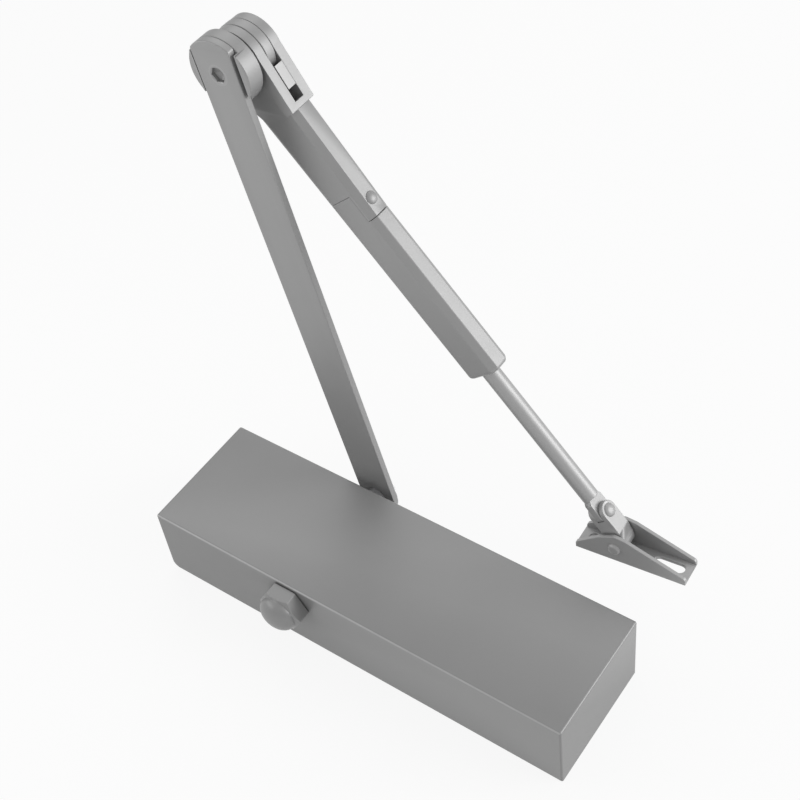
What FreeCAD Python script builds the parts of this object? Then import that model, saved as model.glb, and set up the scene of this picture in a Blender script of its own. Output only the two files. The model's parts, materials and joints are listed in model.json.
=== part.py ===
import FreeCAD, Part
import math
import os
import Sketcher
from FreeCAD import Placement, Rotation, Vector

# Hydraulic door closer with a folding hold-open arm, in millimetres.
# The closer lies on its mounting face: +Z points out of the door face, +X runs along the cover
# towards the spring end and +Y runs along the spindle towards the arm.
# The origin is the centre of the four mounting holes, on the mounting face.

SIZES = {
    # cover
    "cover_length": 311.0,
    "cover_width": 90.0,
    "cover_height": 57.0,
    "cover_wall": 2.0,
    "cover_edge": 1.5,
    "cover_foot_radius": 6.0,
    "cover_fit": 0.3,
    "spindle_hole": 24.0,
    # cylinder casting
    "bore_height": 30.0,
    "bore_diameter": 38.0,
    "casting_wall": 5.0,
    "boss_diameter": 28.8,
    "boss_gap": 3.0,
    "lug_height": 10.0,
    "lug_length": 25.2,
    "screw_inset": 12.2,
    "screw_spacing_short": 38.0,
    "screw_hole": 6.8,
    # spindle and its bearings
    "spindle_along": -46.0,
    "spindle_diameter": 15.6,
    "spindle_bore": 24.0,
    "running_gap": 0.05,
    "seat_gap": 0.03,
    "bearing_length": 16.0,
    "seal_length": 4.0,
    "gland_length": 4.0,
    "gland_slot": 2.0,
    "gland_slot_depth": 1.0,
    "tooth_module": 2.0,
    "tooth_count": 10,
    "pressure_angle": 25.0,
    "tooth_height_factor": 0.8,
    "tooth_root_factor": 0.25,
    "backlash": 0.2,
    "rack_teeth": 7,
    "rack_lead": 4,
    "rack_foot": 0.5,
    "tooth_face": 26.0,
    "tenon_size": 11.0,
    "stub_diameter": 14.0,
    # cap nut on the free end of the spindle
    "nut_flats": 28.6,
    "nut_height": 10.5,
    "nut_dome_diameter": 26.4,
    "nut_dome_height": 8.6,
    "nut_gap": 0.5,
    "nut_chamfer": 1.2,
    "nut_rim": 0.2,
    # piston, closing spring and its adjuster
    "opening_angle": 100.0,
    "piston_head": 12.0,
    "piston_skirt": 22.0,
    "window_gap": 1.2,
    "ring_width": 2.5,
    "ring_depth": 2.0,
    "spring_cup": 8.0,
    "spring_cup_room": 1.0,
    "seat_room": 11.2,
    "spring_mean_diameter": 28.0,
    "spring_wire": 4.0,
    "spring_turns": 8.0,
    "spring_seat_length": 8.0,
    "spring_guide": 6.0,
    "spring_guide_gap": 0.5,
    "plug_length": 16.0,
    "plug_socket": 14.0,
    "plug_socket_depth": 7.0,
    "plug_ring": 3.0,
    "adjuster_diameter": 10.0,
    "adjuster_reach": 8.0,
    "adjuster_collar": 4.0,
    "adjuster_flange": 3.0,
    "adjuster_thread": 20.0,
    "adjuster_chamfer": 1.0,
    "adjuster_root": 0.5,
    "adjuster_head": 12.0,
    # regulating valves
    "valve_diameter": 6.4,
    "valve_depth": 14.0,
    "valve_height": 6.5,
    "valve_slot": 1.2,
    "valve_slot_depth": 2.0,
    "valve_proud": 1.0,
    "valve_taper": 4.0,
    "valve_tip": 2.0,
    "valve_end_gap": 0.5,
    "latch_inset": 18.0,
    "sweep_inset": 34.0,
    "backcheck_offset": 40.0,
    # main arm and elbow
    "arm_gap": 8.0,
    "arm_thickness": 4.6,
    "arm_width": 28.4,
    "arm_length": 328.0,
    "arm_lean": 10.6,
    "arm_corner": 2.0,
    "arm_screw": 8.0,
    "arm_screw_head": 5.0,
    "arm_washer": 2.0,
    "disc_diameter": 42.0,
    "disc_set_back": 1.3,
    "disc_channel": 32.4,
    "disc_back": 7.7,
    "elbow_pin": 13.0,
    "elbow_socket": 8.5,
    "elbow_socket_depth": 5.0,
    "elbow_washer": 2.8,
    "elbow_washer_diameter": 24.7,
    "elbow_nut_flats": 22.0,
    "elbow_nut_height": 5.0,
    "elbow_gap": 0.2,
    # forearm
    "forearm_drop": 48.75,
    "fork_width": 19.0,
    "fork_slot": 6.8,
    "fork_radius": 18.0,
    "fork_slot_end": 36.4,
    "fork_shoulder": 40.4,
    "fork_shoulder_rise": 10.5,
    "fork_taper_start": 22.0,
    "fork_flange_low": 4.0,
    "bar_width": 16.0,
    "bar_depth": 28.0,
    "bar_root": 8.0,
    "bar_chamfer": 3.6,
    "bar_round": 6.5,
    "rod_offset": 8.0,
    "lap_start": 95.5,
    "lap_end": 112.9,
    "lap_depth": 5.0,
    "lap_gap": 0.25,
    "lap_screw_along": 103.3,
    "lap_screw": 4.0,
    "lap_screw_head": 7.6,
    "lap_screw_rise": 2.1,
    "sleeve_end": 227.0,
    "sleeve_round": 2.8,
    "rod_diameter": 11.0,
    "rod_start": 140.0,
    "rod_socket": 118.0,
    "clamp_along": 214.0,
    "clamp_screw": 6.0,
    "clamp_point": 1.0,
    "clamp_socket_depth": 3.0,
    "cam_diameter": 36.4,
    "cam_notch": 1.6,
    "cam_notch_width": 6.0,
    "pawl_gap": 0.5,
    "pawl_length": 10.5,
    "pawl_height": 13.0,
    "pawl_nose": 4.0,
    "pawl_heel": 4.0,
    "pawl_horn_along": 14.8,
    "pawl_proud": 0.4,
    "pawl_hollow": 25.0,
    "pawl_spring_bore": 6.0,
    "pawl_spring_reach": 26.0,
    "pawl_spring_wire": 0.8,
    "pawl_spring_turns": 6.0,
    # rod eye, link and shoe
    "rod_roll": 5.4,
    "eye_along": 341.4,
    "eye_radius": 6.6,
    "eye_thickness": 5.0,
    "eye_flat": 12.4,
    "eye_flare": 3.0,
    "eye_neck": 0.8,
    "link_ear": 3.5,
    "link_eye_radius": 6.2,
    "head_flat": 0.6,
    "head_rim": 0.4,
    "link_rivet": 6.0,
    "link_rivet_head": 8.6,
    "link_rivet_rise": 2.2,
    "link_web": 8.2,
    "link_crease": 14.2,
    "link_facet_along": 1.2,
    "barrel_along": 22.0,
    "barrel_drop": 2.0,
    "barrel_diameter": 13.0,
    "barrel_length": 12.0,
    "shoe_tilt": 3.1,
    "shoe_width": 18.8,
    "shoe_sheet": 2.5,
    "shoe_left": 26.3,
    "shoe_right": 46.1,
    "shoe_depth": 10.8,
    "shoe_peak": 21.2,
    "shoe_peak_along": 0.7,
    "shoe_brow": 20.0,
    "shoe_brow_along": 6.8,
    "shoe_shoulder": 16.4,
    "shoe_shoulder_along": 10.7,
    "shoe_left_rise": 4.4,
    "shoe_right_rise": 4.8,
    "shoe_slot_start": 22.0,
    "shoe_slot_length": 20.0,
    "shoe_slot_width": 7.0,
    "shoe_hole_along": 17.5,
    "shoe_pin": 6.0,
    "shoe_pin_head": 8.4,
    "shoe_pin_rise": 2.0,
}

doc = FreeCAD.newDocument("door_closer")
sheet = doc.addObject("Spreadsheet::Sheet", "Dims")
for row, (alias, number) in enumerate(SIZES.items(), start=1):
    sheet.set(f"A{row}", alias.replace("_", " "))
    sheet.set(f"B{row}", str(number))
    sheet.setAlias(f"B{row}", alias)
doc.recompute()


class Size:
    """A size: its expression on the sheet and its present value."""

    def __init__(self, text, value):
        self.text = text
        self.value = value

    def join(self, sign, other, value):
        return Size(f"({self.text} {sign} {other.text})", value)

    def __add__(self, other):
        other = size_of(other)
        return self.join("+", other, self.value + other.value)

    def __sub__(self, other):
        other = size_of(other)
        return self.join("-", other, self.value - other.value)

    def __mul__(self, other):
        other = size_of(other)
        return self.join("*", other, self.value * other.value)

    def __truediv__(self, other):
        other = size_of(other)
        return self.join("/", other, self.value / other.value)

    def __radd__(self, other):
        return size_of(other) + self

    def __rsub__(self, other):
        return size_of(other) - self

    def __rmul__(self, other):
        return size_of(other) * self

    def __neg__(self):
        return size_of(0) - self


def size_of(number):
    if isinstance(number, Size):
        return number
    return Size(repr(float(number)), float(number))


class Sheet:
    """Sizes of the sheet by name."""

    def __getattr__(self, alias):
        return Size(f"Dims.{alias}", float(getattr(sheet, alias)))


d = Sheet()
parts = []


def bind(thing, prop, size):
    thing.setExpression(prop, size_of(size).text)


def keep(thing, label):
    thing.Label = label
    parts.append(thing)
    return thing


def new_body(label, place=Placement()):
    body = doc.addObject("PartDesign::Body", label)
    body.Placement = place
    return keep(body, label)


# Profiles: each returns a function that draws a closed outline in a sketch

def hold(sketch, geometry, point, x, y):
    for kind, size in (("DistanceX", size_of(x)), ("DistanceY", size_of(y))):
        rule = sketch.addConstraint(Sketcher.Constraint(kind, -1, 1, geometry, point, size.value))
        sketch.setExpression(f"Constraints[{rule}]", size.text)


def outline(*corners):
    def draw(sketch):
        first = sketch.GeometryCount
        spots = [Vector(size_of(x).value, size_of(y).value, 0) for x, y in corners]
        count = len(spots)
        for i in range(count):
            sketch.addGeometry(Part.LineSegment(spots[i], spots[(i + 1) % count]))
        for i in range(count):
            following = first + (i + 1) % count
            sketch.addConstraint(Sketcher.Constraint("Coincident", first + i, 2, following, 1))
            hold(sketch, first + i, 1, *corners[i])
    return draw


def rectangle(x_low, y_low, x_high, y_high):
    return outline((x_low, y_low), (x_high, y_low), (x_high, y_high), (x_low, y_high))


def circle(x, y, diameter):
    def draw(sketch):
        radius = size_of(diameter) / 2
        middle = Vector(size_of(x).value, size_of(y).value, 0)
        geometry = sketch.addGeometry(Part.Circle(middle, Vector(0, 0, 1), radius.value))
        hold(sketch, geometry, 3, x, y)
        rule = sketch.addConstraint(Sketcher.Constraint("Radius", geometry, radius.value))
        sketch.setExpression(f"Constraints[{rule}]", radius.text)
    return draw


def hexagon(x, y, flats):
    half = size_of(flats) / 2
    reach = half * (2 / math.sqrt(3))
    corners = ((reach, 0), (reach / 2, half), (-reach / 2, half),
               (-reach, 0), (-reach / 2, -half), (reach / 2, -half))
    return outline(*[(x + dx, y + dy) for dx, dy in corners])


# Features: a sketch square to an axis, padded or cut from one station to another

PLANES = {"x": ("YZ_Plane", 1), "y": ("XZ_Plane", -1), "z": ("XY_Plane", 1)}


def sketch_on(body, axis, station, profiles):
    role, sign = PLANES[axis]
    sketch = body.newObject("Sketcher::SketchObject", body.Name + "_sketch")
    plane = next(f for f in body.Origin.OriginFeatures if f.Role == role)
    sketch.AttachmentSupport = (plane, [""])
    sketch.MapMode = "FlatFace"
    bind(sketch, "AttachmentOffset.Base.z", size_of(station) * sign)
    for draw in profiles:
        draw(sketch)
    return sketch


def pad(body, axis, start, end, *profiles):
    feature = body.newObject("PartDesign::Pad", body.Name + "_pad")
    feature.Profile = sketch_on(body, axis, start, profiles)
    bind(feature, "Length", size_of(end) - start)
    feature.Reversed = PLANES[axis][1] < 0
    return feature


def cut(body, axis, start, end, *profiles):
    feature = body.newObject("PartDesign::Pocket", body.Name + "_pocket")
    feature.Profile = sketch_on(body, axis, start, profiles)
    bind(feature, "Length", size_of(end) - start)
    feature.Reversed = PLANES[axis][1] > 0
    return feature


def spin(body, axis, *corners, groove=False):
    """Turn an outline about the body's X axis (along, radius) or Y axis (radius, along)."""
    kind = "Groove" if groove else "Revolution"
    feature = body.newObject("PartDesign::" + kind, body.Name + "_turned")
    sketch = sketch_on(body, "z", 0, [outline(*corners)])
    feature.Profile = sketch
    feature.ReferenceAxis = (sketch, ["H_Axis" if axis == "x" else "V_Axis"])
    feature.Angle = 360
    return feature


def round_top(radius, base, rise, steps=6):
    """Corners of a dome's profile, from its apex on the axis to its rim."""
    angles = [math.pi / 2 * i / steps for i in range(steps + 1)]
    return [(radius * math.sin(angle), base + rise * math.cos(angle)) for angle in angles]


def soften(body, kind, size, wanted):
    """Fillet or chamfer the edges of the body so far that wanted(edge) picks."""
    doc.recompute()
    base = body.Tip
    names = [f"Edge{i}" for i, edge in enumerate(base.Shape.Edges, start=1) if wanted(edge)]
    feature = body.newObject("PartDesign::" + kind, body.Name + "_" + kind.lower())
    feature.Base = (base, names)
    bind(feature, "Radius" if kind == "Fillet" else "Size", size)
    return feature


def near(value, target, room=0.01):
    return abs(value - target) < room


def runs_along(edge, axis):
    if not isinstance(edge.Curve, Part.Line):
        return False
    return abs(getattr(edge.Curve.Direction, axis)) > 0.999


# How far a cut runs past the face that it leaves
PAST = 1.0


# Places that several pieces share

half_length = d.cover_length / 2
half_width = d.cover_width / 2
arm_front = half_width + d.arm_gap
arm_back = arm_front + d.arm_thickness
disc_front = arm_front + d.disc_set_back
disc_rear = arm_back + d.disc_back
fork_front = disc_rear + d.elbow_washer
fork_rear = fork_front + d.fork_width
fork_middle = (fork_front + fork_rear) / 2
pitch_radius = d.tooth_module * d.tooth_count / 2
tip_height = d.tooth_module * d.tooth_height_factor
root_depth = d.tooth_module * (d.tooth_height_factor + d.tooth_root_factor)
piston_travel = pitch_radius * d.opening_angle * (math.pi / 180)
spindle_radius = d.spindle_diameter / 2
bore_radius = d.bore_diameter / 2
boss_half = half_width - d.cover_wall - d.boss_gap
lug_end = half_length - d.cover_wall - d.cover_fit
casting_half = lug_end - d.lug_length
spindle_height = d.bore_height + pitch_radius
bar_top = d.bar_depth / 2 - d.rod_offset
bar_bottom = -d.bar_depth / 2 - d.rod_offset

lean = math.radians(d.arm_lean.value)
spindle_point = Vector(d.spindle_along.value, 0, spindle_height.value)
elbow_point = spindle_point + d.arm_length.value * Vector(-math.sin(lean), 0, math.cos(lean))
bore_place = Placement(Vector(0, 0, d.bore_height.value), Rotation())
spindle_place = Placement(spindle_point, Rotation())
arm_turn = Rotation(Vector(0, 1, 0), -d.arm_lean.value)
arm_place = Placement(spindle_point, arm_turn)
elbow_place = Placement(elbow_point, arm_turn)
forearm_place = Placement(elbow_point + Vector(0, fork_middle.value, 0),
                          Rotation(Vector(0, 1, 0), d.forearm_drop.value))
bar_start = d.fork_shoulder - d.bar_root
bar_slope = (d.fork_shoulder_rise - bar_top) / (d.lap_end - bar_start)
lap_seat = bar_top + bar_slope * (d.lap_end - d.lap_screw_along - d.lap_screw_head / 2)
barrel_x = d.eye_along + d.barrel_along
rod_place = forearm_place.multiply(Placement(Vector(0, 0, -d.rod_offset.value),
                                             Rotation(Vector(1, 0, 0), -d.rod_roll.value)))
shoe_turn = -d.forearm_drop.value - d.shoe_tilt.value
shoe_place = rod_place.multiply(Placement(Vector(barrel_x.value, 0, -d.barrel_drop.value),
                                          Rotation(Vector(0, 1, 0), shoe_turn)))


# Cover: a shell open towards the door, with a hole for each end of the spindle

def make_cover():
    body = new_body("cover")
    pad(body, "z", 0, d.cover_height, rectangle(-half_length, -half_width, half_length, half_width))

    def foot_edge(edge):
        middle = edge.CenterOfMass
        return runs_along(edge, "y") and near(middle.x, -half_length.value) and near(middle.z, 0)

    soften(body, "Fillet", d.cover_foot_radius, foot_edge)

    def outer_edge(edge):
        box = edge.BoundBox
        upright = runs_along(edge, "z")
        return upright or near(box.ZMin, d.cover_height.value)

    soften(body, "Fillet", d.cover_edge, outer_edge)
    inner_x = half_length - d.cover_wall
    inner_y = half_width - d.cover_wall
    cut(body, "z", 0, d.cover_height - d.cover_wall, rectangle(-inner_x, -inner_y, inner_x, inner_y))
    spindle_hole = circle(d.spindle_along, spindle_height, d.spindle_hole)
    cut(body, "y", -half_width, half_width, spindle_hole)


# Cylinder casting: barrel for the piston, cross boss for the spindle, a mounting lug at each end

def make_casting():
    body = new_body("body_casting")
    outer = d.bore_diameter + 2 * d.casting_wall
    barrel = circle(0, d.bore_height, outer)
    pad(body, "x", -casting_half, casting_half, barrel)
    pad(body, "x", -casting_half, casting_half, rectangle(-outer / 2, 0, outer / 2, d.bore_height))
    boss_radius = d.boss_diameter / 2
    pad(body, "y", -boss_half, boss_half, circle(d.spindle_along, spindle_height, d.boss_diameter))
    web = rectangle(d.spindle_along - boss_radius, 0, d.spindle_along + boss_radius, spindle_height)
    pad(body, "y", -boss_half, boss_half, web)
    lug_side = half_width - d.cover_wall - d.cover_fit
    lugs = [rectangle(casting_half, -lug_side, lug_end, lug_side),
            rectangle(-lug_end, -lug_side, -casting_half, lug_side)]
    pad(body, "z", 0, d.lug_height, lugs[0])
    pad(body, "z", 0, d.lug_height, lugs[1])
    foot = d.cover_foot_radius
    cut(body, "y", -lug_side, lug_side, rectangle(-lug_end - foot, -foot, -lug_end + foot, foot))
    cut(body, "x", -casting_half, casting_half, circle(0, d.bore_height, d.bore_diameter))
    cut(body, "y", -boss_half, boss_half, circle(d.spindle_along, spindle_height, d.spindle_bore))
    far = lug_end - d.screw_inset
    aside = d.screw_spacing_short / 2
    holes = [circle(x, y, d.screw_hole) for x in (-far, far) for y in (-aside, aside)]
    cut(body, "z", 0, d.lug_height, *holes)
    valve_holes = [circle(x, d.valve_height, d.valve_diameter) for x in VALVES.values()]
    cut(body, "y", -outer / 2, -outer / 2 + d.valve_depth, *valve_holes)


VALVES = {
    "latch_valve": -casting_half + d.latch_inset,
    "sweep_valve": -casting_half + d.sweep_inset,
    "backcheck_valve": d.spindle_along + d.backcheck_offset,
}


def make_valves():
    side = -(d.bore_diameter / 2 + d.casting_wall)
    for label, along in VALVES.items():
        place = Placement(Vector(along.value, 0, d.valve_height.value), Rotation())
        body = new_body(label, place)
        radius = d.valve_diameter / 2 - d.running_gap
        base = side + d.valve_depth - d.valve_end_gap
        head = side - d.valve_proud
        spin(body, "y", (0, head), (radius, head), (radius, base - d.valve_taper), (d.valve_tip / 2, base),
             (0, base))
        slot = rectangle(-d.valve_diameter, -d.valve_slot / 2, d.valve_diameter, d.valve_slot / 2)
        cut(body, "y", head, head + d.valve_slot_depth, slot)


# Spindle set, turned about the spindle axis

def involute_angle(pressure):
    return math.tan(pressure) - pressure


def tooth_flank(radius, base_radius, half_angle):
    """Point of a tooth flank at a radius, measured from the tooth's middle line."""
    roll = involute_angle(math.acos(min(1.0, base_radius / radius)))
    angle = half_angle - roll
    return radius * math.sin(angle), radius * math.cos(angle)


def make_spindle():
    pitch = pitch_radius.value
    pressure = math.radians(d.pressure_angle.value)
    count = int(d.tooth_count.value)
    base = pitch * math.cos(pressure)
    tip = pitch + tip_height.value
    root = pitch - root_depth.value
    thinned = (math.pi / count) / 2 - d.backlash.value / (2 * pitch)
    half_angle = thinned + involute_angle(pressure)
    radii = [max(base, root) + (tip - max(base, root)) * share for share in (0, 0.5, 1)]
    flank = [tooth_flank(radius, base, half_angle) for radius in radii]
    foot = (flank[0][0], 0.6 * root)
    right = [foot] + flank
    left = [(-x, y) for x, y in reversed(right)]
    corners = [Vector(x, -d.tooth_face.value / 2, -z) for x, z in right + left]
    tooth = Part.Face(Part.makePolygon(corners + corners[:1])).extrude(Vector(0, d.tooth_face.value, 0))
    free_end = -(half_width + d.nut_gap + d.nut_height).value
    shoulder = -(half_width + d.nut_gap).value
    radius = spindle_radius.value
    gear_half = d.tooth_face.value / 2
    section = [(0, free_end), (d.stub_diameter.value / 2, free_end), (d.stub_diameter.value / 2, shoulder),
               (radius, shoulder), (radius, -gear_half), (root, -gear_half), (root, gear_half),
               (radius, gear_half), (radius, arm_front.value), (0, arm_front.value)]
    wire = Part.makePolygon([Vector(r, y, 0) for r, y in section + section[:1]])
    shape = Part.Face(wire).revolve(Vector(0, 0, 0), Vector(0, 1, 0), 360)
    side = d.tenon_size.value
    tenon = Part.makeBox(side, d.arm_thickness.value, side, Vector(-side / 2, arm_front.value, -side / 2))
    tenon.rotate(Vector(0, 0, 0), Vector(0, 1, 0), -d.arm_lean.value)
    teeth = [tooth.rotated(Vector(0, 0, 0), Vector(0, 1, 0), 360 * i / count) for i in range(count)]
    shape = shape.multiFuse(teeth + [tenon])
    deep = arm_back.value - 3 * d.arm_screw.value
    shape = shape.cut(Part.makeCylinder(d.arm_screw.value / 2, arm_back.value - deep,
                                        Vector(0, deep, 0), Vector(0, 1, 0)))
    feature = keep(doc.addObject("Part::Feature", "spindle"), "spindle")
    feature.Shape = shape.removeSplitter()
    feature.Placement = spindle_place


def make_spindle_rings():
    seat = d.spindle_bore / 2 - d.seat_gap
    inner = spindle_radius + d.running_gap
    gland_start = boss_half - d.gland_length
    seal_start = gland_start - d.seal_length
    stations = {
        "bearing": (seal_start - d.bearing_length, seal_start),
        "seal": (seal_start, gland_start),
        "gland": (gland_start, boss_half),
    }
    for kind, (start, end) in stations.items():
        for side, sign in (("cap_side", -1), ("arm_side", 1)):
            body = new_body(f"{kind}_{side}", spindle_place)
            low, high = (start, end) if sign > 0 else (-end, -start)
            spin(body, "y", (inner, low), (seat, low), (seat, high), (inner, high))
            if kind == "gland":
                half = d.gland_slot / 2
                slot = rectangle(-2 * seat, -half, 2 * seat, half)
                deep = d.gland_slot_depth
                face = (high - deep, high) if sign > 0 else (low, low + deep)
                cut(body, "y", *face, slot)


def make_cap_nut():
    body = new_body("cap_nut", spindle_place)
    back = -(half_width + d.nut_gap)
    front = back - d.nut_height
    pad(body, "y", front, back, hexagon(size_of(0), size_of(0), d.nut_flats))
    corner = d.nut_flats * (1 / math.sqrt(3))
    rim = d.nut_flats / 2 - d.nut_rim
    outside = corner + PAST
    spin(body, "y", (rim, front), (outside, front), (outside, front + d.nut_chamfer + PAST), groove=True)
    dome = d.nut_dome_diameter / 2
    spin(body, "y", (0, front), *round_top(dome, front, -d.nut_dome_height))
    cut(body, "y", front, back, circle(0, 0, d.stub_diameter + 2 * d.seat_gap))


# Piston with its rack, seal ring, closing spring and end plugs, along the bore

window_left = d.spindle_along - pitch_radius - tip_height - piston_travel - d.window_gap
window_right = d.spindle_along + pitch_radius + tip_height + d.window_gap
piston_left = window_left - d.piston_head
piston_right = window_right + d.piston_skirt
spring_left = piston_right - d.spring_cup
plug_inner = casting_half - d.plug_length
spring_right = plug_inner - d.adjuster_collar - d.seat_room - d.spring_seat_length


def make_piston():
    body = new_body("piston", bore_place)
    radius = bore_radius - d.running_gap
    spin(body, "x", (piston_left, 0), (piston_left, radius), (piston_right, radius), (piston_right, 0))
    cup = d.spring_mean_diameter + d.spring_wire + d.spring_cup_room
    cut(body, "x", spring_left, piston_right, circle(0, 0, cup))
    ring_start = piston_left + (d.piston_head - d.ring_width) / 2
    ring_floor = radius - d.ring_depth
    ring_end = ring_start + d.ring_width
    spin(body, "x", (ring_start, ring_floor), (ring_start, radius + PAST), (ring_end, radius + PAST),
         (ring_end, ring_floor), groove=True)
    window = rectangle(window_left, -root_depth, window_right, bore_radius)
    cut(body, "y", -bore_radius, bore_radius, window)
    tangent = math.tan(math.radians(d.pressure_angle.value))
    pitch = d.tooth_module * math.pi
    thick = pitch / 4 - d.backlash / 2
    tip = thick - tip_height * tangent
    root = thick + root_depth * tangent
    first = d.spindle_along - pitch / 2 - d.rack_lead * pitch
    foot = -root_depth - d.rack_foot
    tooth = outline((first - root, foot), (first + root, foot), (first + root, -root_depth),
                    (first + tip, tip_height), (first - tip, tip_height), (first - root, -root_depth))
    first_tooth = pad(body, "y", -d.tooth_face / 2, d.tooth_face / 2, tooth)
    doc.recompute()
    pattern = body.newObject("PartDesign::LinearPattern", "rack_teeth")
    pattern.Originals = [first_tooth]
    axis = next(f for f in body.Origin.OriginFeatures if f.Role == "X_Axis")
    pattern.Direction = (axis, [""])
    bind(pattern, "Length", pitch * (d.rack_teeth - 1))
    bind(pattern, "Occurrences", d.rack_teeth)
    body.Tip = pattern
    ring = new_body("piston_ring", bore_place)
    outside = bore_radius - d.running_gap
    inside = ring_floor + d.seat_gap
    spin(ring, "x", (ring_start, inside), (ring_start, outside),
         (ring_start + d.ring_width, outside), (ring_start + d.ring_width, inside))


COIL_STEPS = 14


def make_coil(label, place, start, length, mean, wire, turns):
    """A coil spring of square wire along the local X axis, lofted through sections of the wire."""
    half = wire.value / 2
    inner = mean.value / 2 - half
    outer = mean.value / 2 + half
    steps = int(turns.value * COIL_STEPS)
    sections = []
    for i in range(steps + 1):
        middle = start.value + half + (length.value - wire.value) * i / steps
        angle = 2 * math.pi * i / COIL_STEPS
        spoke = Vector(0, math.cos(angle), math.sin(angle))
        low = middle - half
        high = middle + half
        corners = [spoke * radius + Vector(along, 0, 0) for radius, along in
                   ((inner, low), (outer, low), (outer, high), (inner, high))]
        sections.append(Part.makePolygon(corners + corners[:1]))
    feature = keep(doc.addObject("Part::Feature", label), label)
    feature.Shape = Part.makeLoft(sections, True, True)
    feature.Placement = place


def make_spring_end():
    make_coil("closing_spring", bore_place, spring_left, spring_right - spring_left,
              d.spring_mean_diameter, d.spring_wire, d.spring_turns)
    seat = new_body("spring_seat", bore_place)
    radius = bore_radius - d.running_gap
    guide = (d.spring_mean_diameter - d.spring_wire) / 2 - d.spring_guide_gap
    guide_end = spring_right - d.spring_guide
    right = spring_right + d.spring_seat_length
    half = d.adjuster_diameter / 2
    thread = half + d.running_gap
    spin(seat, "x", (guide_end, thread), (guide_end, guide), (spring_right, guide),
         (spring_right, radius), (right, radius), (right, thread))
    fit = bore_radius - d.seat_gap
    groove = plug_inner + d.plug_length / 2
    floor = fit - d.plug_ring
    for side, sign in (("spring_side", 1), ("spindle_side", -1)):
        plug = new_body(f"end_plug_{side}", bore_place)
        corners = [(plug_inner, 0), (plug_inner, fit), (groove, fit), (groove, floor),
                   (groove + d.plug_ring, floor), (groove + d.plug_ring, fit), (casting_half, fit),
                   (casting_half, 0)]
        spin(plug, "x", *[(x * sign, r) for x, r in corners])
        if sign > 0:
            hole = circle(0, 0, d.adjuster_diameter + 2 * d.running_gap)
            cut(plug, "x", plug_inner, casting_half, hole)
        else:
            socket = hexagon(size_of(0), size_of(0), d.plug_socket)
            cut(plug, "x", -casting_half, -casting_half + d.plug_socket_depth, socket)
        ring = new_body(f"plug_ring_{side}", bore_place)
        inside = floor + d.seat_gap
        edges = [(groove, inside), (groove, fit), (groove + d.plug_ring, fit), (groove + d.plug_ring, inside)]
        spin(ring, "x", *[(x * sign, r) for x, r in edges])
    screw = new_body("power_adjuster", bore_place)
    end = casting_half + d.adjuster_reach
    tip = spring_right - d.adjuster_thread
    flange = half + d.adjuster_flange
    collar = plug_inner - d.adjuster_collar
    spin(screw, "x", (tip, 0), (tip, half - d.adjuster_chamfer), (tip + d.adjuster_chamfer, half),
         (collar, half), (collar, flange), (plug_inner, flange), (plug_inner, half), (end, half), (end, 0))
    head = hexagon(size_of(0), size_of(0), d.adjuster_head)
    pad(screw, "x", end - d.adjuster_root, end + d.adjuster_reach, head)


# Main arm set: arm, its screw, hold-open disc, elbow pin, cam and nut

def make_main_arm():
    body = new_body("main_arm", arm_place)
    half = d.arm_width / 2
    far = d.arm_length
    pad(body, "y", arm_front, arm_back, rectangle(-half, 0, half, far))
    pad(body, "y", arm_front, arm_back, circle(0, 0, d.arm_width))
    pad(body, "y", arm_front, arm_back, circle(0, far, d.disc_diameter))
    past = d.disc_diameter / 2 + 1
    cut(body, "y", arm_front, arm_back, rectangle(half, far - past, past, far + past))
    cut(body, "y", arm_front, arm_back, rectangle(-past, far - past, -half, far + past))

    def head_corner(edge):
        middle = edge.CenterOfMass
        return runs_along(edge, "y") and near(abs(middle.x), half.value) and middle.z > far.value + 1

    soften(body, "Fillet", d.arm_corner, head_corner)
    side = d.tenon_size / 2 + d.seat_gap
    cut(body, "y", arm_front, arm_back, rectangle(-side, -side, side, side))
    cut(body, "y", arm_front, arm_back, circle(0, far, d.elbow_pin))
    washer = new_body("arm_washer", spindle_place)
    top = arm_back + d.arm_washer
    spin(washer, "y", (d.arm_screw / 2, arm_back), (half * 0.85, arm_back), (half * 0.85, top),
         (d.arm_screw / 2, top))
    screw = new_body("arm_screw", spindle_place)
    stem = d.arm_screw / 2 - d.seat_gap
    bottom = arm_back - 3 * d.arm_screw + 1
    spin(screw, "y", (0, bottom), (stem, bottom), (stem, top), (0, top))
    pad(screw, "y", top, top + d.arm_screw_head, hexagon(size_of(0), size_of(0), d.arm_screw * 1.625))


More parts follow.
